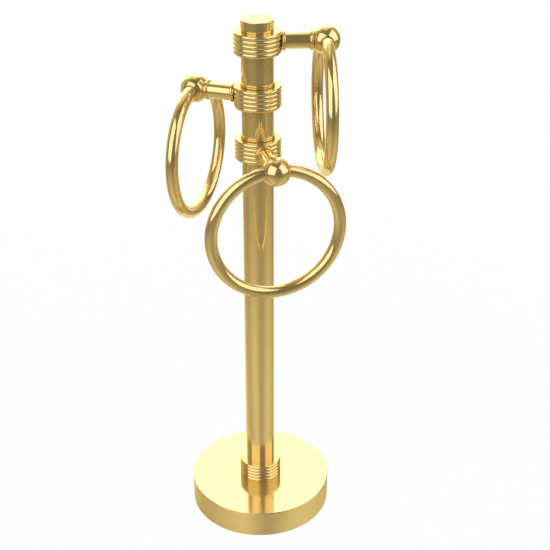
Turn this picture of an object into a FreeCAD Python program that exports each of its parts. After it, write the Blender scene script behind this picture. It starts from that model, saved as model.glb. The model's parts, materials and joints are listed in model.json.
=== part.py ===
"""Countertop towel holder: a weighted base, a post of stacked tubes, and three swivelling
collars, each with an arm, a ball and a ring that swings in the ball.

Frame: millimetres, +Z up, origin on the counter under the middle of the post. The lower
arm points along -Y.
"""
import FreeCAD, Part
import math
import os
import re

import Sketcher

LENGTHS = {
    # Base: a turned disc, hollowed below for its pad and for the nut of the tie rod
    "base_diameter": 123.8,
    "base_height": 24.6,
    "base_edge_round": 0.6,
    "base_rim_width": 3.6,
    "pad_thickness": 2.0,
    "pad_recess_depth": 1.4,
    "pad_clearance": 0.3,
    "pad_edge_round": 0.5,
    "post_register_depth": 1.5,
    # Tie rod, with its nut and washer under the base
    "rod_diameter": 9.5,
    "rod_clearance": 0.25,
    "rod_end_length": 1.5,
    "rod_end_gap": 1.6,
    "nut_width": 14.3,
    "nut_height": 8.0,
    "nut_recess_margin": 2.0,
    "base_washer_diameter": 30.0,
    "base_washer_thickness": 2.5,
    # Post: one long tube and two short ones, closed by plugs
    "tube_diameter": 25.4,
    "tube_wall": 1.65,
    "lower_tube_height": 312.65,
    "plug_gap": 5.2,
    "fit_clearance": 0.05,
    # Cap that screws down on the rod
    "cap_height": 8.7,
    "cap_edge_round": 0.5,
    "cap_crown_thickness": 2.7,
    "rod_tip_gap": 0.5,
    # Seat rings round the feet of the short tubes
    "seat_ring_land": 0.2,
    "seat_ring_round": 0.8,
    "seat_ring_side": 1.4,
    # Ribbed collars and the bushes on which three of them turn
    "collar_diameter": 37.1,
    "rib_width": 3.0,
    "rib_rise": 0.7,
    "rib_gap": 0.38,
    "bush_diameter": 16.0,
    "running_clearance": 0.05,
    "swivel_play": 0.1,
    "swivel_washer_thickness": 0.5,
    "swivel_washer_inset": 0.2,
    # Turned arms with a stepped bead at each end, and the studs inside them
    "arm_diameter": 12.8,
    "arm_step_rise": 0.3,
    "arm_step_width": 1.2,
    "arm_bead_rise": 1.1,
    "arm_bead_land": 0.4,
    "arm_seat_depth": 0.3,
    "arm_seat_margin": 0.2,
    "stud_diameter": 5.0,
    "stud_clearance": 0.2,
    "stud_tip_gap": 0.2,
    "collar_web": 2.7,
    "ball_web": 1.8,
    # Balls, drilled across for the rings
    "ball_diameter": 22.5,
    "ball_flat_depth": 1.65,
    "ball_mouth_round": 0.3,
    # Rings: the diameter is that of the wire's centre line. The wire runs straight through the
    # ball and begins to bend this far inside each mouth
    "ring_diameter": 104.0,
    "ring_wire_diameter": 9.9,
    "ring_bend_radius": 12.0,
    "ring_bend_lead": 1.4,
    "ring_end_gap": 1.0,
    "ring_swing_clearance": 0.25,
    # A ring hangs this much further from the post's axis than its radius, and the short tubes
    # that keep the rings apart are this much under a quarter of its diameter
    "ring_post_margin": 0.2,
    "short_tube_trim": 0.8,
    # How far a cut runs past the face where it leaves the metal
    "cut_overrun": 1.0,
}

# Directions of the three arms, in degrees from +X towards +Y
AZIMUTHS = {
    "lower_arm_azimuth": 270.0,
    "middle_arm_azimuth": 145.7,
    "upper_arm_azimuth": 348.2,
}

COUNTS = {
    "rib_count": 5,
    "nut_sides": 6,
}

# Sizes that follow from the driving ones, as expressions
BASE_BOTTOM = "(pad_thickness - pad_recess_depth)"
BASE_TOP = f"({BASE_BOTTOM} + base_height)"
PAD_RECESS_RADIUS = "(base_diameter / 2 - base_rim_width)"
NUT_RECESS_DEPTH = (
    "(pad_recess_depth + rod_end_gap + rod_end_length + nut_height + base_washer_thickness)"
)
ROD_HOLE_DIAMETER = "(rod_diameter + 2 * rod_clearance)"
TUBE_BORE = "(tube_diameter - 2 * tube_wall)"
TUBE_SOCKET = "(tube_diameter + 2 * fit_clearance)"
RIB_PITCH = "(rib_width + rib_gap)"
COLLAR_HEIGHT = f"(rib_count * {RIB_PITCH})"
COLLAR_CORE_DIAMETER = "(collar_diameter - 2 * rib_rise)"
RIB_RADIUS = "(((rib_width / 2) ^ 2 + rib_rise ^ 2) / (2 * rib_rise))"
COLLAR_BORE = "(bush_diameter + 2 * running_clearance)"
BUSH_LENGTH = f"(swivel_washer_thickness + {COLLAR_HEIGHT} + 2 * swivel_play)"
# The rings set how far apart the collars stand and how far out the balls are
SHORT_TUBE_HEIGHT = "(ring_diameter / 4 - short_tube_trim)"
PLUG_LENGTH = f"(({SHORT_TUBE_HEIGHT} - plug_gap) / 2)"
BALL_REACH = "(ring_diameter / 2 + ring_post_margin)"
STUD_HOLE_RADIUS = "(stud_diameter / 2 + fit_clearance)"
ARM_STEP_RADIUS = "(arm_diameter / 2 + arm_step_rise)"
ARM_BEAD_RADIUS = f"({ARM_STEP_RADIUS} + arm_bead_rise)"
ARM_BEAD_WIDTH = "(2 * arm_bead_rise + arm_bead_land)"
ARM_START = "(collar_diameter / 2 - arm_seat_depth)"
BALL_SEAT = "(ball_diameter / 2 - ball_flat_depth)"
ARM_END = f"({BALL_REACH} - {BALL_SEAT})"
STUD_HOLE_START = f"({COLLAR_BORE} / 2 + collar_web)"
RING_HOLE_RADIUS = "(ring_wire_diameter / 2 + ring_swing_clearance)"
STUD_HOLE_END = f"({RING_HOLE_RADIUS} + ball_web)"
# A ring's straight ends reach this far from the ball's middle. From there a small bend runs
# into the large one, whose middle is this far below the ball's
RING_STRAIGHT = f"(sqrt((ball_diameter / 2) ^ 2 - {RING_HOLE_RADIUS} ^ 2) - ring_bend_lead)"
BEND_OFFSET = "(ring_diameter / 2 - ring_bend_radius)"
BEND_DROP = f"sqrt({BEND_OFFSET} ^ 2 - {RING_STRAIGHT} ^ 2)"
RING_DROP = f"(ring_bend_radius + {BEND_DROP})"

# Heights in the stack: each short tube stands on the bush below it
LOWER_BUSH_BOTTOM = f"({BASE_TOP} + lower_tube_height)"
MIDDLE_TUBE_BOTTOM = f"({LOWER_BUSH_BOTTOM} + {BUSH_LENGTH})"
MIDDLE_BUSH_BOTTOM = f"({MIDDLE_TUBE_BOTTOM} + {SHORT_TUBE_HEIGHT})"
UPPER_TUBE_BOTTOM = f"({MIDDLE_BUSH_BOTTOM} + {BUSH_LENGTH})"
UPPER_BUSH_BOTTOM = f"({UPPER_TUBE_BOTTOM} + {SHORT_TUBE_HEIGHT})"
CAP_BOTTOM = f"({UPPER_BUSH_BOTTOM} + {BUSH_LENGTH})"
ROD_BOTTOM = f"({BASE_BOTTOM} + pad_recess_depth + rod_end_gap)"
ROD_TOP = f"({CAP_BOTTOM} + cap_height - cap_crown_thickness - rod_tip_gap)"

doc = FreeCAD.newDocument("towel_holder")
sheet = doc.addObject("Spreadsheet::Sheet", "Sizes")
for row, (alias, number) in enumerate({**LENGTHS, **AZIMUTHS, **COUNTS}.items(), start=1):
    sheet.set(f"A{row}", alias)
    sheet.set(f"B{row}", str(number))
    sheet.setAlias(f"B{row}", alias)
doc.recompute()

pieces = []


def bound(expression):
    """The expression with each alias, a word with an underscore, read from the sheet."""
    return re.sub(r"\b[a-z]+(?:_[a-z]+)+\b", lambda word: f"Sizes.{word.group()}", expression)


def value(expression):
    return float(sheet.evalExpression(bound(expression)))


def bind(thing, prop, expression):
    thing.setExpression(prop, bound(expression))


def add_piece(kind, label):
    piece = doc.addObject(kind, label)
    piece.Label = label
    pieces.append(piece)
    return piece


def place(piece, height, azimuth="0", reach="0"):
    """Stands a piece at a height, turned to an azimuth and moved out by a reach."""
    spot = f"vector({reach} * cos({azimuth}); {reach} * sin({azimuth}); {height})"
    bind(piece, "Placement", f"placement({spot}; rotation(vector(0; 0; 1); {azimuth}))")


def sketch_on(body, role, name):
    """An empty sketch on one of the body's own origin planes."""
    sketch = body.newObject("Sketcher::SketchObject", f"{body.Label}_{name}")
    plane = next(feature for feature in body.Origin.OriginFeatures if feature.Role == role)
    sketch.AttachmentSupport = (plane, [""])
    sketch.MapMode = "FlatFace"
    return sketch


def constrain(sketch, expression, kind, *where):
    """Adds a dimension to the sketch and ties it to the sheet."""
    index = sketch.addConstraint(Sketcher.Constraint(kind, *where, value(expression)))
    bind(sketch, f"Constraints[{index}]", expression)


def pin(sketch, element, point, x, y):
    """Holds a point of an element at x and y, or on an axis where one of them is 0."""
    for kind, axis, expression in (("DistanceX", -2, x), ("DistanceY", -1, y)):
        if expression == "0":
            sketch.addConstraint(Sketcher.Constraint("PointOnObject", element, point, axis))
        else:
            constrain(sketch, expression, kind, -1, 1, element, point)


def add_outline(sketch, corners):
    """A closed outline, counter-clockwise. Each corner is x, y and, where the run to the
    next corner is an arc that bulges outwards, its radius."""
    spots = [FreeCAD.Vector(value(x), value(y), 0) for x, y, *arc in corners]
    for index, (x, y, *arc) in enumerate(corners):
        start = spots[index]
        end = spots[(index + 1) % len(spots)]
        if arc:
            run = end - start
            radius = value(arc[0])
            rise = radius - math.sqrt(radius**2 - (run.Length / 2) ** 2)
            outward = FreeCAD.Vector(run.y, -run.x, 0).normalize()
            sketch.addGeometry(Part.Arc(start, (start + end) / 2 + outward * rise, end))
        else:
            sketch.addGeometry(Part.LineSegment(start, end))
    for index, (x, y, *arc) in enumerate(corners):
        following = (index + 1) % len(corners)
        sketch.addConstraint(Sketcher.Constraint("Coincident", index, 2, following, 1))
        pin(sketch, index, 1, x, y)
        if arc:
            constrain(sketch, arc[0], "Radius", index)


def add_circle(sketch, diameter, x="0", y="0"):
    spot = FreeCAD.Vector(value(x), value(y), 0)
    normal = FreeCAD.Vector(0, 0, 1)
    index = sketch.addGeometry(Part.Circle(spot, normal, value(f"{diameter} / 2")))
    pin(sketch, index, 3, x, y)
    constrain(sketch, diameter, "Diameter", index)


def revolve(body, sketch, axis, kind="PartDesign::Revolution"):
    """Turns, or with a groove cuts, the sketch round one of its own axes."""
    feature = body.newObject(kind, f"{sketch.Name}_turned")
    feature.Profile = sketch
    feature.ReferenceAxis = (sketch, [axis])
    feature.Angle = 360
    return feature


def turned(label, axis, corners):
    """A body turned from one outline in its XZ plane."""
    body = add_piece("PartDesign::Body", label)
    sketch = sketch_on(body, "XZ_Plane", "outline")
    add_outline(sketch, corners)
    revolve(body, sketch, axis)
    return body


def add_sleeve(body, outer, inner, length, side="One side"):
    sketch = sketch_on(body, "XY_Plane", "section")
    add_circle(sketch, outer)
    add_circle(sketch, inner)
    pad = body.newObject("PartDesign::Pad", f"{body.Label}_sleeve")
    pad.Profile = sketch
    pad.SideType = side
    bind(pad, "Length", length)


def sleeve(label, outer, inner, length, height):
    """A plain round sleeve whose lower end is at a height."""
    body = add_piece("PartDesign::Body", label)
    add_sleeve(body, outer, inner, length)
    place(body, height)


def base():
    rod_hole = f"{ROD_HOLE_DIAMETER} / 2"
    nut_recess = "base_washer_diameter / 2 + nut_recess_margin"
    register = f"{TUBE_SOCKET} / 2"
    register_floor = "base_height - post_register_depth"
    rounded_radius = "base_diameter / 2 - base_edge_round"
    disc = turned("base_disc", "V_Axis", [
        (rod_hole, NUT_RECESS_DEPTH),
        (nut_recess, NUT_RECESS_DEPTH),
        (nut_recess, "pad_recess_depth"),
        (PAD_RECESS_RADIUS, "pad_recess_depth"),
        (PAD_RECESS_RADIUS, "0"),
        (rounded_radius, "0", "base_edge_round"),
        ("base_diameter / 2", "base_edge_round"),
        ("base_diameter / 2", "base_height - base_edge_round", "base_edge_round"),
        (rounded_radius, "base_height"),
        (register, "base_height"),
        (register, register_floor),
        (rod_hole, register_floor),
    ])
    place(disc, BASE_BOTTOM)
    pad_radius = f"{PAD_RECESS_RADIUS} - pad_clearance"
    turned("base_pad", "V_Axis", [
        ("0", "0"),
        (f"{pad_radius} - pad_edge_round", "0", "pad_edge_round"),
        (pad_radius, "pad_edge_round"),
        (pad_radius, "pad_thickness"),
        ("0", "pad_thickness"),
    ])


def tie_rod():
    rod = add_piece("Part::Cylinder", "tie_rod")
    bind(rod, "Radius", "rod_diameter / 2")
    bind(rod, "Height", f"{ROD_TOP} - {ROD_BOTTOM}")
    place(rod, ROD_BOTTOM)
    nut_bottom = f"{ROD_BOTTOM} + rod_end_length"
    blank = doc.addObject("Part::Prism", "nut_blank")
    bind(blank, "Polygon", "nut_sides")
    bind(blank, "Circumradius", "nut_width / 2 / cos(180 / nut_sides)")
    bind(blank, "Height", "nut_height")
    place(blank, nut_bottom)
    bore = doc.addObject("Part::Cylinder", "nut_bore")
    bind(bore, "Radius", "rod_diameter / 2 + fit_clearance")
    bind(bore, "Height", "nut_height + 2 * cut_overrun")
    place(bore, f"{nut_bottom} - cut_overrun")
    nut = add_piece("Part::Cut", "base_nut")
    nut.Base = blank
    nut.Tool = bore
    washer_bottom = f"{nut_bottom} + nut_height"
    sleeve("base_washer", "base_washer_diameter", ROD_HOLE_DIAMETER, "base_washer_thickness", washer_bottom)


def post_tube(name, bottom, length):
    """A tube with a plug pressed in flush at each end."""
    plug = f"{TUBE_BORE} - 2 * fit_clearance"
    sleeve(f"{name}_post_tube", "tube_diameter", TUBE_BORE, length, bottom)
    sleeve(f"{name}_tube_foot_plug", plug, ROD_HOLE_DIAMETER, PLUG_LENGTH, bottom)
    head = f"{bottom} + {length} - {PLUG_LENGTH}"
    sleeve(f"{name}_tube_head_plug", plug, ROD_HOLE_DIAMETER, PLUG_LENGTH, head)


def seat_ring(name, bottom):
    """Rounded ring round the foot of the tube that stands above a collar."""
    inner = f"{TUBE_SOCKET} / 2"
    shoulder = f"{inner} + seat_ring_land"
    outer = f"{shoulder} + seat_ring_round"
    top = "2 * seat_ring_round + seat_ring_side"
    ring = turned(f"{name}_seat_ring", "V_Axis", [
        (inner, "0"),
        (shoulder, "0", "seat_ring_round"),
        (outer, "seat_ring_round"),
        (outer, "seat_ring_round + seat_ring_side", "seat_ring_round"),
        (shoulder, top),
        (inner, top),
    ])
    place(ring, bottom)


def top_cap():
    radius = "tube_diameter / 2"
    thread = "rod_diameter / 2 + fit_clearance"
    hole_depth = "cap_height - cap_crown_thickness"
    cap = turned("top_cap", "V_Axis", [
        (thread, "0"),
        (radius, "0"),
        (radius, "cap_height - cap_edge_round", "cap_edge_round"),
        (f"{radius} - cap_edge_round", "cap_height"),
        ("0", "cap_height"),
        ("0", hole_depth),
        (thread, hole_depth),
    ])
    place(cap, CAP_BOTTOM)


def ribbed_collar(label, bore):
    """A sleeve about its middle with low round ribs, the first one turned and the rest
    repeated upwards."""
    body = add_piece("PartDesign::Body", label)
    add_sleeve(body, COLLAR_CORE_DIAMETER, bore, COLLAR_HEIGHT, "Symmetric")
    sketch = sketch_on(body, "XZ_Plane", "rib")
    root = f"{COLLAR_CORE_DIAMETER} / 2"
    lower = f"rib_gap / 2 - {COLLAR_HEIGHT} / 2"
    upper = f"{lower} + rib_width"
    inside = f"{root} - rib_rise"
    add_outline(sketch, [(inside, lower), (root, lower, RIB_RADIUS), (root, upper), (inside, upper)])
    rib = revolve(body, sketch, "V_Axis")
    ribs = body.newObject("PartDesign::LinearPattern", f"{label}_ribs")
    ribs.Originals = [rib]
    ribs.Direction = (sketch, ["V_Axis"])
    bind(ribs, "Length", f"{COLLAR_HEIGHT} - {RIB_PITCH}")
    bind(ribs, "Occurrences", "rib_count")
    body.Tip = ribs
    return body


def swivel_collar(name, height, azimuth):
    """A ribbed collar with the flat seat and the tapped hole for its arm."""
    body = ribbed_collar(f"{name}_swivel_collar", COLLAR_BORE)
    sketch = sketch_on(body, "XZ_Plane", "arm_socket")
    outside = "collar_diameter / 2 + cut_overrun"
    seat_radius = f"{ARM_BEAD_RADIUS} + arm_seat_margin"
    add_outline(sketch, [
        (STUD_HOLE_START, "0"),
        (outside, "0"),
        (outside, seat_radius),
        (ARM_START, seat_radius),
        (ARM_START, STUD_HOLE_RADIUS),
        (STUD_HOLE_START, STUD_HOLE_RADIUS),
    ])
    body.Tip = revolve(body, sketch, "H_Axis", "PartDesign::Groove")
    place(body, height, azimuth)


def arm(name, height, azimuth):
    """A turned arm along X, drilled for its stud."""
    bore = "stud_diameter / 2 + stud_clearance"
    radius = "arm_diameter / 2"
    first_step = f"{ARM_START} + {ARM_BEAD_WIDTH}"
    last_step = f"{ARM_END} - {ARM_BEAD_WIDTH}"
    body = turned(f"{name}_arm", "H_Axis", [
        (ARM_START, bore),
        (ARM_END, bore),
        (ARM_END, ARM_STEP_RADIUS, "arm_bead_rise"),
        (f"{ARM_END} - arm_bead_rise", ARM_BEAD_RADIUS),
        (f"{last_step} + arm_bead_rise", ARM_BEAD_RADIUS, "arm_bead_rise"),
        (last_step, ARM_STEP_RADIUS),
        (f"{last_step} - arm_step_width", ARM_STEP_RADIUS),
        (f"{last_step} - arm_step_width", radius),
        (f"{first_step} + arm_step_width", radius),
        (f"{first_step} + arm_step_width", ARM_STEP_RADIUS),
        (first_step, ARM_STEP_RADIUS, "arm_bead_rise"),
        (f"{first_step} - arm_bead_rise", ARM_BEAD_RADIUS),
        (f"{ARM_START} + arm_bead_rise", ARM_BEAD_RADIUS, "arm_bead_rise"),
        (ARM_START, ARM_STEP_RADIUS),
    ])
    place(body, height, azimuth)
    tip = f"{STUD_HOLE_START} + stud_tip_gap"
    far_tip = f"{BALL_REACH} - {STUD_HOLE_END} - stud_tip_gap"
    stud = turned(f"{name}_arm_stud", "H_Axis", [
        (tip, "0"),
        (far_tip, "0"),
        (far_tip, "stud_diameter / 2"),
        (tip, "stud_diameter / 2"),
    ])
    place(stud, height, azimuth)


def is_mouth(edge):
    """Whether an edge is a mouth of the cross hole, the only edges that leave a plane
    square to the arm and keep to one side of the ball."""
    box = edge.BoundBox
    return box.XLength > value("ring_wire_diameter") and box.YMin * box.YMax > 0


def ball(name, height, azimuth):
    """A ball with a flat and a tapped hole towards its arm, drilled across for its ring."""
    radius = "ball_diameter / 2"
    flat_radius = f"sqrt(({radius}) ^ 2 - {BALL_SEAT} ^ 2)"
    body = turned(f"{name}_ball", "H_Axis", [
        (f"-{BALL_SEAT}", STUD_HOLE_RADIUS),
        (f"-{STUD_HOLE_END}", STUD_HOLE_RADIUS),
        (f"-{STUD_HOLE_END}", "0"),
        (radius, "0", radius),
        (f"-{BALL_SEAT}", flat_radius),
    ])
    sketch = sketch_on(body, "XZ_Plane", "ring_hole")
    add_circle(sketch, f"2 * {RING_HOLE_RADIUS}")
    hole = body.newObject("PartDesign::Pocket", f"{name}_ring_hole")
    hole.Profile = sketch
    hole.SideType = "Symmetric"
    bind(hole, "Length", "ball_diameter + 2 * cut_overrun")
    doc.recompute()
    mouths = [f"Edge{i}" for i, edge in enumerate(hole.Shape.Edges, start=1) if is_mouth(edge)]
    softened = body.newObject("PartDesign::Fillet", f"{name}_mouths")
    softened.Base = (hole, mouths)
    bind(softened, "Radius", "ball_mouth_round")
    body.Tip = softened
    place(body, height, azimuth, BALL_REACH)


def add_ring_path(sketch):
    """The wire's centre line, counter-clockwise from one straight end to the other."""
    scale = f"(ring_diameter / 2 / {BEND_OFFSET})"
    side = f"{RING_STRAIGHT} * {scale}"
    drop = f"{BEND_DROP} * {scale} - {RING_DROP}"
    stops = [
        ("-ring_end_gap / 2", "0"), (f"-{RING_STRAIGHT}", "0", "ring_bend_radius"),
        (f"-{side}", drop, "ring_diameter / 2"), (side, drop, "ring_bend_radius"),
        (RING_STRAIGHT, "0"), ("ring_end_gap / 2", "0"),
    ]
    centres = {1: (f"-{RING_STRAIGHT}", "-ring_bend_radius"), 2: ("0", f"-{RING_DROP}"),
               3: (RING_STRAIGHT, "-ring_bend_radius")}
    spots = [FreeCAD.Vector(value(x), value(y), 0) for x, y, *arc in stops]
    for index, (start, end) in enumerate(zip(spots, spots[1:])):
        if index in centres:
            centre = FreeCAD.Vector(*(value(part) for part in centres[index]), 0)
            first, last = (math.atan2(spot.y - centre.y, spot.x - centre.x) for spot in (start, end))
            circle = Part.Circle(centre, FreeCAD.Vector(0, 0, 1), value(stops[index][2]))
            sketch.addGeometry(Part.ArcOfCircle(circle, first, last))
        else:
            sketch.addGeometry(Part.LineSegment(start, end))
    for index, (x, y, *arc) in enumerate(stops[:-1]):
        pin(sketch, index, 1, x, y)
        if arc:
            constrain(sketch, arc[0], "Radius", index)
        if index:
            sketch.addConstraint(Sketcher.Constraint("Coincident", index - 1, 2, index, 1))
    pin(sketch, len(stops) - 2, 2, *stops[-1])


def towel_ring(name, height, azimuth):
    """A ring in the plane square to its arm, bent from one length of wire whose straight ends
    go into the ball from its two sides."""
    body = add_piece("PartDesign::Body", f"{name}_towel_ring")
    path = sketch_on(body, "YZ_Plane", "path")
    add_ring_path(path)
    wire = sketch_on(body, "XZ_Plane", "wire")
    bind(wire, "AttachmentOffset.Base.z", "ring_end_gap / 2")
    add_circle(wire, "ring_wire_diameter")
    ring = body.newObject("PartDesign::AdditivePipe", f"{name}_ring_bent")
    ring.Profile = wire
    ring.Spine = path
    place(body, height, azimuth, BALL_REACH)


def swivel_set(name, bush_bottom):
    """Everything at one collar: what it turns on, the collar, its arm, ball and ring."""
    washer = "tube_diameter - 2 * swivel_washer_inset"
    washer_bore = "bush_diameter + 2 * fit_clearance"
    sleeve(f"{name}_bush", "bush_diameter", ROD_HOLE_DIAMETER, BUSH_LENGTH, bush_bottom)
    sleeve(f"{name}_swivel_washer", washer, washer_bore, "swivel_washer_thickness", bush_bottom)
    height = f"({bush_bottom} + swivel_washer_thickness + swivel_play + {COLLAR_HEIGHT} / 2)"
    azimuth = f"{name}_arm_azimuth"
    swivel_collar(name, height, azimuth)
    arm(name, height, azimuth)
    ball(name, height, azimuth)
    towel_ring(name, height, azimuth)


def check_and_write():
    """Stops if anything failed to build, and otherwise writes each piece to its file."""
    doc.recompute()
    failed = [thing.Label for thing in doc.Objects if {"Invalid", "Error"} & set(thing.State)]
    bad = [piece.Label for piece in pieces if piece.Shape.isNull() or not piece.Shape.isValid()]
    if failed or bad:
        raise RuntimeError(f"failed objects: {failed}; bad shapes: {bad}")
    os.makedirs("parts", exist_ok=True)
    for piece in pieces:
        piece.Shape.exportStep(f"parts/{piece.Label}.step")
        print(f"{piece.Label}: {len(piece.Shape.Solids)} solid, {piece.Shape.Volume:.1f} mm3")


base()
place(ribbed_collar("base_collar", TUBE_SOCKET), f"{BASE_TOP} + {COLLAR_HEIGHT} / 2")
tie_rod()
post_tube("lower", f"{BASE_TOP} - post_register_depth", "(post_register_depth + lower_tube_height)")
swivel_set("lower", LOWER_BUSH_BOTTOM)
seat_ring("lower", MIDDLE_TUBE_BOTTOM)
post_tube("middle", MIDDLE_TUBE_BOTTOM, SHORT_TUBE_HEIGHT)
swivel_set("middle", MIDDLE_BUSH_BOTTOM)
seat_ring("middle", UPPER_TUBE_BOTTOM)
post_tube("upper", UPPER_TUBE_BOTTOM, SHORT_TUBE_HEIGHT)
swivel_set("upper", UPPER_BUSH_BOTTOM)
top_cap()
check_and_write()
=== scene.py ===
"""Countertop towel holder: a heavy turned base, a post of stacked tubes, and three ribbed
collars that swivel, each with an arm, a drilled ball and a ring that swings in it.

Metres, +Z up, origin on the counter under the middle of the post, lower arm along -Y.
"""
import json
import math

import bmesh
import bpy
from bpy.props import FloatProperty, FloatVectorProperty, PointerProperty
from bpy.types import Operator, Panel, PropertyGroup
from mathutils import Matrix, Vector


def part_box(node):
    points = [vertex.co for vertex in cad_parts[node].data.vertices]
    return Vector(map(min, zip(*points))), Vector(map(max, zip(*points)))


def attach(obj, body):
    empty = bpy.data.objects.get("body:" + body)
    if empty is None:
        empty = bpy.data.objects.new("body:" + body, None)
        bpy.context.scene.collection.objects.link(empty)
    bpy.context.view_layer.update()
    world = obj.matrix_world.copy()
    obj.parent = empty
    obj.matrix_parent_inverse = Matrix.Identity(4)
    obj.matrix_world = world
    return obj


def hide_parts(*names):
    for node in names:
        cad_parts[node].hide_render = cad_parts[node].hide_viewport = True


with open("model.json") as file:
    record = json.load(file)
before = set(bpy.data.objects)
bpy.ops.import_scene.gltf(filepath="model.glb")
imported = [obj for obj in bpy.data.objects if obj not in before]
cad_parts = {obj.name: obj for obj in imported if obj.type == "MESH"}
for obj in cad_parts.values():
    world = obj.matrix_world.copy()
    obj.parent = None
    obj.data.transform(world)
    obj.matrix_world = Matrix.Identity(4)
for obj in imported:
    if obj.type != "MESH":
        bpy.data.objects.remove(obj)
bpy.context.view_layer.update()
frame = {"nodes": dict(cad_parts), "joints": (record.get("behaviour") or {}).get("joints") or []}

bl_info = {
    "name": "Towel holder",
    "version": (1, 0, 0),
    "blender": (4, 5, 0),
    "location": "View3D > Sidebar > Towel holder",
    "description": "Builds a countertop towel holder with three swinging rings on its frame",
    "category": "Object",
}

MM = 0.001
FULL_TURN = 2 * math.pi
LEVELS = ("lower", "middle", "upper")
STEPS_ROUND = 144  # spin steps round a post or an arm
STEPS_WIDE = 288  # spin steps round the base and along a ring
ARC_STEPS = 8  # segments in one softened corner
RIB_STEPS = 16  # segments across one rib
SHARP_ANGLE = math.radians(40)  # edges that turn more than this stay crisp
MERGE_DISTANCE = 0.001 * MM

NOISE_LOW, NOISE_HIGH = 0.3, 0.7  # span in which most values of a noise texture lie
WAVE_REPEAT = FULL_TURN / 20  # repeat of a band texture at scale 1
MOP_PATCH = 14 * MM  # size of the patches that the polishing mop leaves
BRASS_MIRROR, BRASS_HAZE = 0.10, 0.17  # roughness of the best and the worst polish
BRASS_METALLIC = 0.82  # the rest is the lacquer's dull share
LATHE_RINGS = 0.6 * math.pi * MM  # spacing of a lathe's rings as drawn
LATHE_STAIN = 9 * MM  # size of the duller patches on turned metal
LATHE_SPREAD = 0.06  # how far its roughness strays
LATHE_SHADE = 0.82  # how dark its patches get
LATHE_RELIEF = 0.02 * MM
MOULD_CLOUD = 12 * MM  # size of the clouds in a moulded skin
MOULD_SHADE = 0.85  # how dark the clouds get
MOULD_IOR = 1.52  # of nylon and rubber


def length(name, description, millimetres):
    """A length that a user may change, given in millimetres and kept in metres."""
    return FloatProperty(name=name, description=description, default=millimetres * MM,
                         min=0.0, precision=5, unit="LENGTH")


def linear(hex_colour):
    """An sRGB hex colour as linear red, green, blue and alpha."""
    channels = [int(hex_colour[i:i + 2], 16) / 255 for i in (1, 3, 5)]
    return [c / 12.92 if c <= 0.04045 else ((c + 0.055) / 1.055) ** 2.4 for c in channels] + [1.0]


def colour(name, description, hex_colour):
    """A colour that a user may change, given as sRGB hex."""
    return FloatVectorProperty(name=name, description=description, default=linear(hex_colour),
                               size=4, min=0.0, max=1.0, subtype="COLOR")


class TOWEL_PG_stand(PropertyGroup):
    """Sizes of the base and the post."""
    base_edge: length("Base edge", "Radius of the base's two softened edges", 0.6)
    base_rim: length("Base rim", "Width of the brass foot round the pad", 3.6)
    pad_recess: length("Pad recess", "Depth of the recess that holds the pad", 1.4)
    nut_recess_radius: length("Nut recess radius", "Recess under the base for the nut", 17.0)
    nut_recess_depth: length("Nut recess depth", "Depth of that recess from the foot", 15.0)
    register_depth: length("Register depth", "How deep the post stands in the base", 1.5)
    rod_hole: length("Rod hole", "Radius of the hole that the tie rod passes", 5.0)
    tube_wall: length("Tube wall", "Wall of the post's tubes", 1.65)
    fit: length("Fit", "Radial gap between a tube and what fits round it", 0.05)
    cap_edge: length("Cap edge", "Radius of the cap's softened top edge", 0.5)
    cap_crown: length("Cap crown", "Metal left above the cap's tapped hole", 2.7)
    cap_thread: length("Cap thread", "Radius of the cap's tapped hole", 4.8)
    seat_land: length("Seat land", "Flat width at the top of a seat ring", 0.2)
    seat_round: length("Seat round", "Radius of a seat ring's corners", 0.8)
    turned_edge: length("Turned edge", "Softening of the plain turned corners", 0.12)


class TOWEL_PG_swivel(PropertyGroup):
    """Sizes of the collars, arms, balls and rings."""
    rib_width: length("Rib width", "Width of one round rib", 3.0)
    rib_rise: length("Rib rise", "Height of a rib over the groove beside it", 0.7)
    rib_gap: length("Rib gap", "Groove between two ribs", 0.38)
    collar_bore: length("Collar bore", "Radius of a swivel collar's bore", 8.05)
    arm_radius: length("Arm radius", "Radius of an arm between its ends", 6.4)
    step_rise: length("Step rise", "Height of the step outside each bead", 0.3)
    step_width: length("Step width", "Width of the step outside each bead", 0.5)
    bead_rise: length("Bead rise", "Height and corner radius of the end beads", 1.1)
    bead_land: length("Bead land", "Flat width on top of a bead", 0.2)
    arm_bore: length("Arm bore", "Radius of the drilling for the stud", 2.7)
    seat_margin: length("Seat margin", "Gap round an arm where it enters the ribs", 0.05)
    stud_hole: length("Stud hole", "Radius of the tapped holes for the stud", 2.55)
    collar_web: length("Collar web", "Metal between a collar's bore and its stud hole", 2.7)
    ball_radius: length("Ball radius", "Radius of a ball", 11.25)
    ball_flat: length("Ball flat", "How deep the flat towards the arm is cut", 1.65)
    ring_hole: length("Ring hole", "Radius of the drilling for the ring", 5.2)
    ball_web: length("Ball web", "Metal between the ring hole and the stud hole", 1.8)
    ring_bend: length("Ring bend", "Radius of the bends beside a ball", 12.0)
    ring_gap: length("Ring gap", "Space between a ring's two ends inside its ball", 1.0)
    mouth_round: length("Mouth round", "Radius at the mouths of the ring hole", 0.3)


class TOWEL_PG_finish(PropertyGroup):
    """Colours of the finishes."""
    brass: colour("Brass", "Polished brass", "#EDD495")
    brass_edge: colour("Brass edge", "What brass keeps of a glancing reflection", "#FFF6CB")
    brass_deep: colour("Deep brass", "Brass where the polish is a little duller", "#E5C98D")
    steel: colour("Steel", "Zinc-plated steel", "#BFC3C6")
    nylon: colour("Nylon", "Natural nylon", "#E6E1D3")
    rubber: colour("Rubber", "Black rubber", "#26262A")
    floor: colour("Floor", "Pale floor under the holder", "#F4F4F4")
    # drape and drape_far colour a glowing sheet that only mirror reflections see; it paints light
    # and shade into the brass, pale near the holder and warmer further off
    drape: colour("Drape", "Grey cloth that the brass mirrors", "#FFFCEB")
    drape_far: colour("Far drape", "The same cloth further off, darker and warmer", "#FFF0AD")


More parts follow.
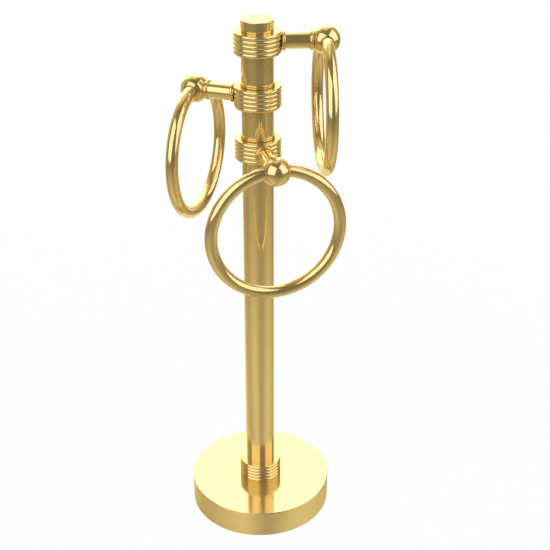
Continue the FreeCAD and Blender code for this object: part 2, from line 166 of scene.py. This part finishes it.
class TOWEL_PG_settings(PropertyGroup):
    """Everything that the operators read."""
    stand: PointerProperty(type=TOWEL_PG_stand)
    swivel: PointerProperty(type=TOWEL_PG_swivel)
    finish: PointerProperty(type=TOWEL_PG_finish)


def settings():
    """The sizes and colours of this scene."""
    return bpy.context.scene.towel_holder


def section(corners):
    """A mesh that holds one section in the XZ plane, closed or open along the axis. Each
    corner is x, z and, where it is softened, its radius."""
    bm = bmesh.new()
    verts = [bm.verts.new((x, 0.0, z)) for x, z, *soft in corners]
    for start, end in zip(verts, verts[1:] + verts[:1]):
        if start.co.x > 0 or end.co.x > 0:
            bm.edges.new((start, end))
    radii = {vert: soft[0] for vert, (x, z, *soft) in zip(verts, corners) if soft}
    for radius in sorted(set(radii.values())):
        bmesh.ops.bevel(bm, geom=[vert for vert in radii if radii[vert] == radius],
                        offset=radius, offset_type="ABSOLUTE", segments=ARC_STEPS, profile=0.5,
                        affect="VERTICES", material=-1, clamp_overlap=False)
        radii = {vert: soft for vert, soft in radii.items() if soft != radius}
    bmesh.ops.remove_doubles(bm, verts=bm.verts, dist=MERGE_DISTANCE)
    return bm


def close(bm):
    """Merges the seams and poles of a mesh and turns its faces outwards."""
    bmesh.ops.remove_doubles(bm, verts=bm.verts, dist=MERGE_DISTANCE)
    bmesh.ops.recalc_face_normals(bm, faces=bm.faces)


def spin(bm, steps):
    """Turns a section all the way round Z and closes it."""
    bmesh.ops.spin(bm, geom=bm.verts[:] + bm.edges[:], cent=(0, 0, 0), axis=(0, 0, 1),
                   angle=FULL_TURN, steps=steps, use_merge=True)
    close(bm)


def turned(corners, steps=STEPS_ROUND):
    """A mesh turned about Z from a section."""
    bm = section(corners)
    spin(bm, steps)
    return bm


def ball_centre(level):
    """Middle of a ball, which is where its ring swings."""
    return Vector(next(j["pos_m"] for j in frame["joints"] if j["name"] == f"{level}_ring_swing"))


def arm_frame(level):
    """The place of an arm: its own X runs outwards from the post's axis at the ball's height."""
    centre = ball_centre(level)
    azimuth = math.atan2(centre.y, centre.x)
    return Matrix.Translation((0, 0, centre.z)) @ Matrix.Rotation(azimuth, 4, "Z")


def arm_start():
    """Distance from the post's axis at which an arm begins: its seat in the collar."""
    return min(-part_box("lower_arm")[1].y, -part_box("lower_arm")[0].y)


def new_object(name, bm, material):
    """Puts a mesh into the scene as an object at the origin."""
    mesh = bpy.data.meshes.new(name)
    bm.to_mesh(mesh)
    bm.free()
    mesh.materials.append(material)
    piece = bpy.data.objects.new(name, mesh)
    bpy.context.scene.collection.objects.link(piece)
    return piece


def cut(bm, tool):
    """The first mesh with the second one's volume taken out of it."""
    blank = new_object("blank", bm, None)
    cutter = new_object("cutter", tool, None)
    difference = blank.modifiers.new("Cut", "BOOLEAN")
    difference.operation = "DIFFERENCE"
    difference.solver = "EXACT"
    difference.object = cutter
    evaluated = blank.evaluated_get(bpy.context.evaluated_depsgraph_get())
    result = bmesh.new()
    result.from_mesh(evaluated.to_mesh())
    evaluated.to_mesh_clear()
    for thing in (blank, cutter):
        mesh = thing.data
        bpy.data.objects.remove(thing)
        bpy.data.meshes.remove(mesh)
    close(result)
    return result


def add_brass(node, bm, body):
    """Finishes a mesh as the polished piece that stands for a CAD node."""
    for face in bm.faces:
        face.smooth = True
    for edge in bm.edges:
        if not edge.is_manifold:
            raise RuntimeError(f"{node}: the mesh is open at {edge.verts[0].co}")
        edge.smooth = edge.calc_face_angle() < SHARP_ANGLE
    piece = new_object(f"polished_{node}", bm, brass())
    weighted = piece.modifiers.new("Weighted normals", "WEIGHTED_NORMAL")
    weighted.keep_sharp = True
    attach(piece, body)
    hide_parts(node)
    return piece


def add_node(tree, kind, inputs=None, **values):
    """Adds a node with its settings, its input values and the sockets linked to it."""
    node = tree.nodes.new(kind)
    for name, value in values.items():
        setattr(node, name, value)
    for key, value in (inputs or {}).items():
        if isinstance(value, bpy.types.NodeSocket):
            tree.links.new(value, node.inputs[key])
        else:
            node.inputs[key].default_value = value
    return node


def new_material(name):
    """An empty material and its node tree."""
    material = bpy.data.materials.new(name)
    material.use_nodes = True
    tree = material.node_tree
    tree.nodes.clear()
    return material, tree


def brass():
    """Brass, turned, buffed to a mirror and lacquered. The eye sees sharp reflections tinted
    gold, a faint haze that the mop left in patches, with colour a little deeper there, and a
    slight dull share under the lacquer."""
    name = "Polished brass"
    if name in bpy.data.materials:
        return bpy.data.materials[name]
    finish = settings().finish
    material, tree = new_material(name)
    place = add_node(tree, "ShaderNodeTexCoord").outputs["Object"]
    haze = add_node(tree, "ShaderNodeTexNoise", {
        "Vector": place, "Scale": 1 / MOP_PATCH, "Detail": 3.0, "Roughness": 0.55})
    tint = add_node(tree, "ShaderNodeMix", {
        "Factor": haze.outputs["Fac"], "A": finish.brass, "B": finish.brass_deep},
        data_type="RGBA")
    rough = add_node(tree, "ShaderNodeMapRange", {
        "Value": haze.outputs["Fac"], "From Min": NOISE_LOW, "From Max": NOISE_HIGH,
        "To Min": BRASS_MIRROR, "To Max": BRASS_HAZE})
    shader = add_node(tree, "ShaderNodeBsdfPrincipled", {
        "Base Color": tint.outputs["Result"], "Metallic": BRASS_METALLIC,
        "Specular Tint": finish.brass_edge, "Roughness": rough.outputs["Result"]})
    add_node(tree, "ShaderNodeOutputMaterial", {"Surface": shader.outputs["BSDF"]})
    return material


def turned_metal(name, colour_value, dull):
    """Metal straight from the lathe. The eye sees a satin that breaks into fine rings, drawn
    nearly twenty times as coarse as the tool's 0.1 mm feed so that they show."""
    material, tree = new_material(name)
    place = add_node(tree, "ShaderNodeTexCoord").outputs["Object"]
    rings = add_node(tree, "ShaderNodeTexWave", {
        "Vector": place, "Scale": WAVE_REPEAT / LATHE_RINGS, "Distortion": 0.4, "Detail": 1.0},
        bands_direction="Z")
    stain = add_node(tree, "ShaderNodeTexNoise", {
        "Vector": place, "Scale": 1 / LATHE_STAIN, "Detail": 3.0})
    rough = add_node(tree, "ShaderNodeMapRange", {
        "Value": stain.outputs["Fac"], "From Min": NOISE_LOW, "From Max": NOISE_HIGH,
        "To Min": dull - LATHE_SPREAD, "To Max": dull + LATHE_SPREAD})
    darker = [c * LATHE_SHADE for c in colour_value[:3]] + [1.0]
    tint = add_node(tree, "ShaderNodeMix", {
        "Factor": stain.outputs["Fac"], "A": colour_value, "B": darker}, data_type="RGBA")
    relief = add_node(tree, "ShaderNodeBump", {
        "Height": rings.outputs["Fac"], "Strength": 0.15, "Distance": LATHE_RELIEF})
    shader = add_node(tree, "ShaderNodeBsdfPrincipled", {
        "Base Color": tint.outputs["Result"], "Metallic": 1.0,
        "Roughness": rough.outputs["Result"], "Normal": relief.outputs["Normal"]})
    add_node(tree, "ShaderNodeOutputMaterial", {"Surface": shader.outputs["BSDF"]})
    return material


def moulded(name, colour_value, grain, depth, roughness):
    """Moulded nylon or rubber. The eye sees a dull skin, slightly clouded, with the grain of
    the mould, drawn coarse enough to show."""
    material, tree = new_material(name)
    place = add_node(tree, "ShaderNodeTexCoord").outputs["Object"]
    cloud = add_node(tree, "ShaderNodeTexNoise", {
        "Vector": place, "Scale": 1 / MOULD_CLOUD, "Detail": 2.0})
    skin = add_node(tree, "ShaderNodeTexNoise", {
        "Vector": place, "Scale": 1 / grain, "Detail": 2.0})
    darker = [c * MOULD_SHADE for c in colour_value[:3]] + [1.0]
    tint = add_node(tree, "ShaderNodeMix", {
        "Factor": cloud.outputs["Fac"], "A": colour_value, "B": darker}, data_type="RGBA")
    relief = add_node(tree, "ShaderNodeBump", {
        "Height": skin.outputs["Fac"], "Strength": 0.4, "Distance": depth})
    shader = add_node(tree, "ShaderNodeBsdfPrincipled", {
        "Base Color": tint.outputs["Result"], "Roughness": roughness, "IOR": MOULD_IOR,
        "Normal": relief.outputs["Normal"]})
    add_node(tree, "ShaderNodeOutputMaterial", {"Surface": shader.outputs["BSDF"]})
    return material


class TOWEL_OT_inner(Operator):
    """Gives the pad and the pieces inside the post, collars and arms their finishes"""
    bl_idname = "towel_holder.inner"
    bl_label = "Inner pieces"

    def execute(self, context):
        finish = settings().finish
        steel = turned_metal("Zinc-plated steel", finish.steel, dull=0.34)
        lathe_brass = turned_metal("Turned brass", finish.brass_deep, dull=0.28)
        nylon = moulded("Moulded nylon", finish.nylon, grain=0.6 * MM, depth=0.01 * MM,
                        roughness=0.45)
        rubber = moulded("Black rubber", finish.rubber, grain=0.9 * MM, depth=0.05 * MM,
                         roughness=0.8)
        finishes = {"base_pad": rubber, "tie_rod": steel, "base_nut": steel, "base_washer": steel}
        for level in LEVELS:
            finishes[f"{level}_arm_stud"] = steel
            finishes[f"{level}_swivel_washer"] = nylon
            for piece in ("tube_foot_plug", "tube_head_plug", "bush"):
                finishes[f"{level}_{piece}"] = lathe_brass
        for node, material in finishes.items():
            slots = frame["nodes"][node].material_slots
            if not slots:
                raise RuntimeError(f"{node} has no material slot")
            for place in slots:
                place.material = material
        return {"FINISHED"}


class TOWEL_OT_base(Operator):
    """Turns the heavy base disc, hollowed below for its pad and nut"""
    bl_idname = "towel_holder.base"
    bl_label = "Base disc"

    def execute(self, context):
        size = settings().stand
        low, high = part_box("base_disc")
        radius = high.x
        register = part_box("lower_post_tube")[1].x + size.fit
        register_floor = high.z - size.register_depth
        pad_recess = radius - size.base_rim
        add_brass("base_disc", turned([
            (size.rod_hole, low.z + size.nut_recess_depth),
            (size.nut_recess_radius, low.z + size.nut_recess_depth),
            (size.nut_recess_radius, low.z + size.pad_recess, size.turned_edge),
            (pad_recess, low.z + size.pad_recess),
            (pad_recess, low.z, size.turned_edge),
            (radius, low.z, size.base_edge),
            (radius, high.z, size.base_edge),
            (register, high.z),
            (register, register_floor),
            (size.rod_hole, register_floor),
        ], STEPS_WIDE), "stand")
        return {"FINISHED"}


class TOWEL_OT_post(Operator):
    """Cuts the three tubes, the two seat rings and the cap of the post"""
    bl_idname = "towel_holder.post"
    bl_label = "Post"

    def execute(self, context):
        size = settings().stand
        soft = size.turned_edge
        for level in LEVELS:
            node = f"{level}_post_tube"
            low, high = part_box(node)
            bore = high.x - size.tube_wall
            add_brass(node, turned([(bore, low.z), (high.x, low.z, soft),
                                    (high.x, high.z, soft), (bore, high.z)]), "stand")
        for level in LEVELS[:2]:
            node = f"{level}_seat_ring"
            low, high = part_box(node)
            inner = high.x - size.seat_round - size.seat_land
            add_brass(node, turned([(inner, low.z), (high.x, low.z, size.seat_round),
                                    (high.x, high.z, size.seat_round), (inner, high.z)]), "stand")
        low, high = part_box("top_cap")
        hole_top = high.z - size.cap_crown
        add_brass("top_cap", turned([
            (size.cap_thread, low.z), (high.x, low.z, soft), (high.x, high.z, size.cap_edge),
            (0, high.z), (0, hole_top), (size.cap_thread, hole_top)]), "stand")
        return {"FINISHED"}


def ribbed(node, bore):
    """A mesh of a ribbed collar: low round ribs on a plain sleeve."""
    size = settings().swivel
    low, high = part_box(node)
    core = max(-low.x, high.x, -low.y, high.y) - size.rib_rise
    half = size.rib_width / 2
    radius = (half ** 2 + size.rib_rise ** 2) / (2 * size.rib_rise)
    pitch = size.rib_width + size.rib_gap
    bm = bmesh.new()
    first, last = (bm.verts.new((x, 0, z)) for x, z in ((bore, high.z), (bore, low.z)))
    bm.edges.new((first, last))
    stops = [bm.verts.new((core, 0, low.z))]
    for index in range(round((high.z - low.z) / pitch)):
        middle = low.z + (index + 0.5) * pitch
        stops.append(bm.verts.new((core, 0, middle - half)))
        arc = bmesh.ops.spin(bm, geom=stops[-1:], cent=(core + size.rib_rise - radius, 0, middle),
                             axis=(0, -1, 0), angle=2 * math.asin(half / radius), steps=RIB_STEPS)
        stops += arc["geom_last"]
    stops.append(bm.verts.new((core, 0, high.z)))
    for ends in [(last, stops[0]), *zip(stops[::2], stops[1::2]), (stops[-1], first)]:
        bm.edges.new(ends)
    spin(bm, STEPS_ROUND)
    return bm


class TOWEL_OT_collars(Operator):
    """Turns the four ribbed collars and cuts the seats of the arms into three of them"""
    bl_idname = "towel_holder.collars"
    bl_label = "Ribbed collars"

    def execute(self, context):
        size = settings().swivel
        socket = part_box("lower_post_tube")[1].x + settings().stand.fit
        add_brass("base_collar", ribbed("base_collar", socket), "stand")
        web = size.collar_bore + size.collar_web
        seat = size.arm_radius + size.step_rise + size.bead_rise + size.seat_margin
        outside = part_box("base_collar")[1].x + size.rib_width
        for level in LEVELS:
            node = f"{level}_swivel_collar"
            tool = turned([
                (0, web), (size.stud_hole, web), (size.stud_hole, arm_start()),
                (seat, arm_start()), (seat, outside), (0, outside)])
            bmesh.ops.transform(tool, verts=tool.verts,
                                matrix=arm_frame(level) @ Matrix.Rotation(math.pi / 2, 4, "Y"))
            add_brass(node, cut(ribbed(node, size.collar_bore), tool), f"{level}_arm_set")
        return {"FINISHED"}


class TOWEL_OT_arms(Operator):
    """Turns the three arms, with a narrow step and a bead at each end"""
    bl_idname = "towel_holder.arms"
    bl_label = "Arms"

    def execute(self, context):
        size = settings().swivel
        start = arm_start()
        step = size.arm_radius + size.step_rise
        bead = step + size.bead_rise
        width = 2 * size.bead_rise + size.bead_land
        for level in LEVELS:
            end = ball_centre(level).xy.length - size.ball_radius + size.ball_flat
            half = []
            for face, inward in ((start, 1), (end, -1)):
                outer = face + inward * size.step_width
                inner = outer + inward * width
                half.append([
                    (size.arm_bore, face), (step, face), (step, outer),
                    (bead, outer, size.bead_rise), (bead, inner, size.bead_rise),
                    (size.arm_radius, inner)])
            arm = turned(half[0] + half[1][::-1])
            bmesh.ops.transform(arm, verts=arm.verts,
                                matrix=arm_frame(level) @ Matrix.Rotation(math.pi / 2, 4, "Y"))
            add_brass(f"{level}_arm", arm, f"{level}_arm_set")
        return {"FINISHED"}


class TOWEL_OT_balls(Operator):
    """Turns the three balls, drilled across for the rings and flattened towards the arms"""
    bl_idname = "towel_holder.balls"
    bl_label = "Balls"

    def execute(self, context):
        size = settings().swivel
        reach = math.sqrt(size.ball_radius ** 2 - size.ring_hole ** 2)
        flat = size.ball_radius - size.ball_flat
        for level in LEVELS:
            ball = bmesh.new()
            start = ball.verts.new((size.ring_hole, 0, -reach))
            bmesh.ops.spin(ball, geom=[start], cent=(0, 0, 0), axis=(0, -1, 0),
                           angle=2 * math.atan2(reach, size.ring_hole), steps=STEPS_ROUND // 3)
            ends = [vert for vert in ball.verts if len(vert.link_edges) == 1]
            ball.edges.new(ends)
            bmesh.ops.bevel(ball, geom=ends, offset=size.mouth_round, offset_type="ABSOLUTE",
                            segments=ARC_STEPS, profile=0.5, affect="VERTICES", material=-1,
                            clamp_overlap=False)
            spin(ball, STEPS_ROUND)
            bmesh.ops.rotate(ball, verts=ball.verts, cent=(0, 0, 0),
                             matrix=Matrix.Rotation(math.pi / 2, 3, "X"))
            sliced = bmesh.ops.bisect_plane(
                ball, geom=ball.verts[:] + ball.edges[:] + ball.faces[:],
                plane_co=(-flat, 0, 0), plane_no=(-1, 0, 0), clear_outer=True)
            rim = [part for part in sliced["geom_cut"] if isinstance(part, bmesh.types.BMEdge)]
            bmesh.ops.contextual_create(ball, geom=rim)
            stud = bmesh.new()
            bmesh.ops.create_cone(stud, cap_ends=True, segments=STEPS_ROUND // 2,
                                  radius1=size.stud_hole, radius2=size.stud_hole,
                                  depth=2 * (flat - size.ring_hole - size.ball_web))
            bmesh.ops.rotate(stud, verts=stud.verts, cent=(0, 0, 0),
                             matrix=Matrix.Rotation(math.pi / 2, 3, "Y"))
            bmesh.ops.translate(stud, verts=stud.verts, vec=(-flat, 0, 0))
            ball = cut(ball, stud)
            out = Matrix.Translation((ball_centre(level).xy.length, 0, 0))
            bmesh.ops.transform(ball, verts=ball.verts, matrix=arm_frame(level) @ out)
            add_brass(f"{level}_ball", ball, f"{level}_arm_set")
        return {"FINISHED"}


class TOWEL_OT_rings(Operator):
    """Bends the three towel rings, each with its two straight ends inside its ball"""
    bl_idname = "towel_holder.rings"
    bl_label = "Towel rings"

    def execute(self, context):
        size = settings().swivel
        low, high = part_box("lower_towel_ring")
        wire = high.z - ball_centre("lower").z
        radius = high.x - wire
        drop = ball_centre("lower").z - low.z - radius - wire
        straight = math.sqrt((radius - size.ring_bend) ** 2 - (drop - size.ring_bend) ** 2)
        turn = math.asin(straight / (radius - size.ring_bend))
        bends = ((-straight, size.ring_bend, turn, STEPS_WIDE // 24),
                 (0, drop, FULL_TURN - 2 * turn, STEPS_WIDE),
                 (straight, size.ring_bend, turn, STEPS_WIDE // 24))
        for level in LEVELS:
            ring = bmesh.new()
            bmesh.ops.create_circle(ring, cap_ends=False, segments=STEPS_ROUND // 2, radius=wire)
            bmesh.ops.rotate(ring, verts=ring.verts, cent=(0, 0, 0),
                             matrix=Matrix.Rotation(math.pi / 2, 3, "X"))
            bmesh.ops.translate(ring, verts=ring.verts, vec=(0, -straight, 0))
            loop = ring.verts[:] + ring.edges[:]
            self.run_to(ring, loop, -size.ring_gap / 2)
            for side, below, angle, steps in bends:
                loop = bmesh.ops.spin(ring, geom=loop, cent=(0, side, -below), axis=(1, 0, 0),
                                      angle=angle, steps=steps)["geom_last"]
            self.run_to(ring, loop, size.ring_gap / 2)
            bmesh.ops.holes_fill(ring, edges=ring.edges, sides=0)
            close(ring)
            out = Matrix.Translation((ball_centre(level).xy.length, 0, 0))
            bmesh.ops.transform(ring, verts=ring.verts, matrix=arm_frame(level) @ out)
            add_brass(f"{level}_towel_ring", ring, f"{level}_ring")
        return {"FINISHED"}

    @staticmethod
    def run_to(ring, loop, end):
        """Draws a straight end of the wire from a loop of its edges to a distance along Y."""
        edges = [part for part in loop if isinstance(part, bmesh.types.BMEdge)]
        drawn = bmesh.ops.extrude_edge_only(ring, edges=edges)["geom"]
        for vert in (part for part in drawn if isinstance(part, bmesh.types.BMVert)):
            vert.co.y = end


CAMERA_PLACE = (-0.2198, -0.8100, 0.6908)
CAMERA_TURN = tuple(math.radians(angle) for angle in (61.282, 0.0, -16.1))
CAMERA_LENS, CAMERA_SENSOR = 74.52, 36.0  # millimetres

FLOOR_SIZE = 8.0  # half of its side
FLOOR_WHITE = 0.95  # share of plain white by the holder, the rest takes the shadow
FLOOR_NEAR, FLOOR_FAR = 0.3, 1.0  # between these distances the floor turns all white
WORLD_DULL, WORLD_SEEN = 0.34, 1.0  # level of the surroundings for dull surfaces and where seen

LAMP_TARGET = Vector((0, 0, 0.25))
SOFTBOX_DISTANCE = 2.2
SOFTBOX_SPREAD = 60  # degrees that a softbox fills
SOFTBOXES = (  # azimuth and elevation in degrees, and the radiance of the face
    ("left_softbox", -40, 30, 1.55),
    ("right_softbox", 78, 31, 1.48),
    ("back_softbox", -167, 28, 1.3),
)

# The drape glows and only mirror reflections see it: its glow paints a studio's light and shade
# into the brass.
DRAPE_CENTRE = (0.0, -0.045, 0.0)  # just in front of the post
DRAPE_SIZE = 4.0  # radius and height
DRAPE_LIFT = 0.5 * MM  # the drape lies this far over the floor
DRAPE_TURN = math.radians(300)  # the drape stands open behind the holder
DRAPE_STEPS = 96
DRAPE_NEAR = 0.60  # painted light: brightness under the holder, on top of the one far off
DRAPE_FAR = 0.10  # painted dim light far off
DRAPE_HALF = 0.72  # distance at which the first of these has halved
DRAPE_POOLS = 3.0  # painted pools of light round the holder, one under each softbox
DRAPE_POOL_TURN = math.radians(-240)  # turns the pools round the holder
DRAPE_POOL_DEPTH = 0.26  # share by which a pool is brighter
DRAPE_SHADE_TURN = math.radians(-15)  # puts the darkest painted shade right of the camera
DRAPE_SHADE_DEPTH = -0.15  # share by which painted shade darkens the front
DRAPE_BACK = 0.45  # painted light that the wall gains towards the open back
DRAPE_BACK_START, DRAPE_BACK_FULL = -0.2, -0.6  # cosines between which it sets in
DRAPE_BACK_NEAR, DRAPE_BACK_FAR = 0.6, 3.0  # squares of the distances between which it does


def studio(x, y, z):
    """A point given to the camera's right, away from it and up, as seen from the holder."""
    return Matrix.Rotation(CAMERA_TURN[2], 3, "Z") @ Vector((x, y, z))


def shown(tree):
    """A socket that is 1 for rays that show the background: straight, mirrored or through glass."""
    path = add_node(tree, "ShaderNodeLightPath").outputs
    seen = add_node(tree, "ShaderNodeMath", {0: path["Is Camera Ray"], 1: path["Is Glossy Ray"]})
    return add_node(tree, "ShaderNodeMath", {0: seen.outputs[0], 1: path["Is Transmission Ray"]},
                    use_clamp=True).outputs[0]


def add_softbox(name, azimuth, elevation, radiance):
    """A square lamp that faces the holder. Its azimuth is counted from the camera to the
    right."""
    lamp = bpy.data.lights.new(name, "AREA")
    lamp.shape = "SQUARE"
    lamp.size = 2 * SOFTBOX_DISTANCE * math.tan(math.radians(SOFTBOX_SPREAD / 2))
    lamp.energy = math.pi * radiance * lamp.size ** 2
    box = bpy.data.objects.new(name, lamp)
    turn, rise = math.radians(azimuth), math.radians(elevation)
    away = studio(math.sin(turn) * math.cos(rise), -math.cos(turn) * math.cos(rise),
                  math.sin(rise))
    box.location = LAMP_TARGET + away * SOFTBOX_DISTANCE
    box.rotation_euler = away.to_track_quat("Z", "Y").to_euler()
    box.visible_camera = False
    bpy.context.scene.collection.objects.link(box)


def pale_floor():
    """A floor that shows white away from the holder and keeps a faint shadow beside it."""
    material, tree = new_material("Pale floor")
    diffuse = add_node(tree, "ShaderNodeBsdfDiffuse", {"Color": settings().finish.floor})
    white = add_node(tree, "ShaderNodeEmission", {"Strength": 1.0})
    place = add_node(tree, "ShaderNodeTexCoord").outputs["Object"]
    away = add_node(tree, "ShaderNodeVectorMath", {0: place}, operation="LENGTH")
    plain = add_node(tree, "ShaderNodeMapRange", {
        "Value": away.outputs["Value"], "From Min": FLOOR_NEAR, "From Max": FLOOR_FAR,
        "To Min": FLOOR_WHITE, "To Max": 1.0})
    share = add_node(tree, "ShaderNodeMath", {0: shown(tree), 1: plain.outputs["Result"]},
                     operation="MULTIPLY")
    both = add_node(tree, "ShaderNodeMixShader", {
        0: share.outputs[0], 1: diffuse.outputs[0], 2: white.outputs[0]})
    add_node(tree, "ShaderNodeOutputMaterial", {"Surface": both.outputs[0]})
    return material


def painted_reflection_drape():
    """A sheet that glows and that only mirror reflections see, painting a studio's light and shade
    into the brass: painted light bright and pale near the holder, darker and warmer further off, in
    painted pools of light under the softboxes with painted shade in front, and lighter again
    towards its open back."""
    material, tree = new_material("Grey drape")
    spot = add_node(tree, "ShaderNodeTexCoord").outputs["Object"]
    axes = add_node(tree, "ShaderNodeSeparateXYZ", {0: spot}).outputs
    nearer = add_node(tree, "ShaderNodeMath", {0: axes["Y"], 1: -1.0}, operation="MULTIPLY")
    turn = add_node(tree, "ShaderNodeMath", {0: axes["X"], 1: nearer.outputs[0]},
                    operation="ARCTAN2")
    # painted pools of light, one under each softbox
    thrice = add_node(tree, "ShaderNodeMath", {
        0: turn.outputs[0], 1: DRAPE_POOLS, 2: DRAPE_POOL_TURN}, operation="MULTIPLY_ADD")
    lobes = add_node(tree, "ShaderNodeMath", {0: thrice.outputs[0]}, operation="COSINE")
    pools = add_node(tree, "ShaderNodeMath", {
        0: lobes.outputs[0], 1: DRAPE_POOL_DEPTH, 2: 1.0}, operation="MULTIPLY_ADD")
    # painted shade, darkest right of the camera
    front = add_node(tree, "ShaderNodeMath", {0: turn.outputs[0], 1: DRAPE_SHADE_TURN},
                     operation="ADD")
    facing = add_node(tree, "ShaderNodeMath", {0: front.outputs[0]}, operation="COSINE")
    shade = add_node(tree, "ShaderNodeMath", {
        0: facing.outputs[0], 1: DRAPE_SHADE_DEPTH, 2: 1.0}, operation="MULTIPLY_ADD")
    # painted light that fades away from the holder
    square = add_node(tree, "ShaderNodeVectorMath", {0: spot, 1: spot}, operation="DOT_PRODUCT")
    fall = add_node(tree, "ShaderNodeMath", {
        0: square.outputs["Value"], 1: 1 / DRAPE_HALF ** 2, 2: 1.0}, operation="MULTIPLY_ADD")
    near = add_node(tree, "ShaderNodeMath", {0: DRAPE_NEAR, 1: fall.outputs[0]},
                    operation="DIVIDE")
    tone = add_node(tree, "ShaderNodeMath", {0: near.outputs[0], 1: DRAPE_FAR}, operation="ADD")
    for pattern in (pools, shade):
        tone = add_node(tree, "ShaderNodeMath", {0: tone.outputs[0], 1: pattern.outputs[0]},
                        operation="MULTIPLY")
    # painted light that grows towards the open back
    behind = add_node(tree, "ShaderNodeMapRange", {
        "Value": facing.outputs[0], "From Min": DRAPE_BACK_START, "From Max": DRAPE_BACK_FULL,
        "To Min": 0.0, "To Max": DRAPE_BACK})
    raised = add_node(tree, "ShaderNodeMapRange", {
        "Value": square.outputs["Value"], "From Min": DRAPE_BACK_NEAR,
        "From Max": DRAPE_BACK_FAR})
    tone = add_node(tree, "ShaderNodeMath", {
        0: behind.outputs[0], 1: raised.outputs[0], 2: tone.outputs[0]},
        operation="MULTIPLY_ADD")
    # painted colour of the reflections: pale near the holder, warmer further off
    cloth = add_node(tree, "ShaderNodeMix", {
        "Factor": near.outputs[0], "A": settings().finish.drape_far,
        "B": settings().finish.drape}, data_type="RGBA")
    glow = add_node(tree, "ShaderNodeEmission", {
        "Color": cloth.outputs["Result"], "Strength": tone.outputs[0]})
    add_node(tree, "ShaderNodeOutputMaterial", {"Surface": glow.outputs[0]})
    material.cycles.emission_sampling = "NONE"
    return material


class TOWEL_OT_stage(Operator):
    """Sets the floor, the white surroundings, the lamps, the glowing drape that paints light and
    shade into the brass's reflections, and the camera
    """
    bl_idname = "towel_holder.stage"
    bl_label = "Stage"

    def execute(self, context):
        scene = context.scene
        scene.view_settings.view_transform = "Standard"
        bm = bmesh.new()
        bmesh.ops.create_grid(bm, x_segments=1, y_segments=1, size=FLOOR_SIZE)
        floor = new_object("pale_floor", bm, pale_floor())

        world = bpy.data.worlds.new("White surroundings")
        scene.world = world
        world.use_nodes = True
        tree = world.node_tree
        tree.nodes.clear()
        level = add_node(tree, "ShaderNodeMapRange", {
            "Value": shown(tree), "To Min": WORLD_DULL, "To Max": WORLD_SEEN})
        light = add_node(tree, "ShaderNodeBackground", {
            "Color": (1, 1, 1, 1), "Strength": level.outputs[0]})
        add_node(tree, "ShaderNodeOutputWorld", {"Surface": light.outputs[0]})

        for softbox in SOFTBOXES:
            add_softbox(*softbox)

        # A glowing sheet, seen only in mirror reflections, that paints a studio's light and shade
        # into the brass
        bm = section([(0, DRAPE_LIFT), (DRAPE_SIZE, DRAPE_LIFT), (DRAPE_SIZE, DRAPE_SIZE),
                      (0, DRAPE_SIZE)])
        bmesh.ops.rotate(bm, verts=bm.verts, cent=(0, 0, 0),
                         matrix=Matrix.Rotation(-math.pi / 2 - DRAPE_TURN / 2, 3, "Z"))
        bmesh.ops.spin(bm, geom=bm.verts[:] + bm.edges[:], cent=(0, 0, 0), axis=(0, 0, 1),
                       angle=DRAPE_TURN, steps=DRAPE_STEPS)
        drape = new_object("painted_reflection_drape", bm, painted_reflection_drape())
        drape.location = studio(*DRAPE_CENTRE)
        drape.rotation_euler = (0, 0, CAMERA_TURN[2])
        drape.visible_camera = drape.visible_diffuse = drape.visible_shadow = False
        drape.visible_transmission = False

        lens = bpy.data.cameras.new("Camera")
        lens.lens = CAMERA_LENS
        lens.sensor_width = CAMERA_SENSOR
        camera = bpy.data.objects.new("Camera", lens)
        camera.location = CAMERA_PLACE
        camera.rotation_euler = CAMERA_TURN
        scene.collection.objects.link(camera)
        scene.camera = camera
        return {"FINISHED"}


class TOWEL_PT_panel(Panel):
    """Lists the pieces and their sizes in the sidebar"""
    bl_idname = "TOWEL_PT_panel"
    bl_label = "Towel holder"
    bl_space_type = "VIEW_3D"
    bl_region_type = "UI"
    bl_category = "Towel holder"

    def draw(self, context):
        for operator in OPERATORS:
            self.layout.operator(operator.bl_idname)
        for group in ("stand", "swivel", "finish"):
            box = self.layout.box()
            sizes = getattr(context.scene.towel_holder, group)
            for name in sizes.__annotations__:
                box.prop(sizes, name)


OPERATORS = (TOWEL_OT_base, TOWEL_OT_post, TOWEL_OT_collars, TOWEL_OT_arms, TOWEL_OT_balls,
             TOWEL_OT_rings, TOWEL_OT_inner, TOWEL_OT_stage)
CLASSES = (TOWEL_PG_stand, TOWEL_PG_swivel, TOWEL_PG_finish, TOWEL_PG_settings,
           *OPERATORS, TOWEL_PT_panel)


def register():
    for cls in CLASSES:
        bpy.utils.register_class(cls)
    bpy.types.Scene.towel_holder = PointerProperty(type=TOWEL_PG_settings)


def unregister():
    del bpy.types.Scene.towel_holder
    for cls in reversed(CLASSES):
        bpy.utils.unregister_class(cls)


def main():
    register()
    bpy.ops.towel_holder.base()
    bpy.ops.towel_holder.post()
    bpy.ops.towel_holder.collars()
    bpy.ops.towel_holder.arms()
    bpy.ops.towel_holder.balls()
    bpy.ops.towel_holder.rings()
    bpy.ops.towel_holder.inner()
    bpy.ops.towel_holder.stage()


if __name__ == "__main__":
    main()
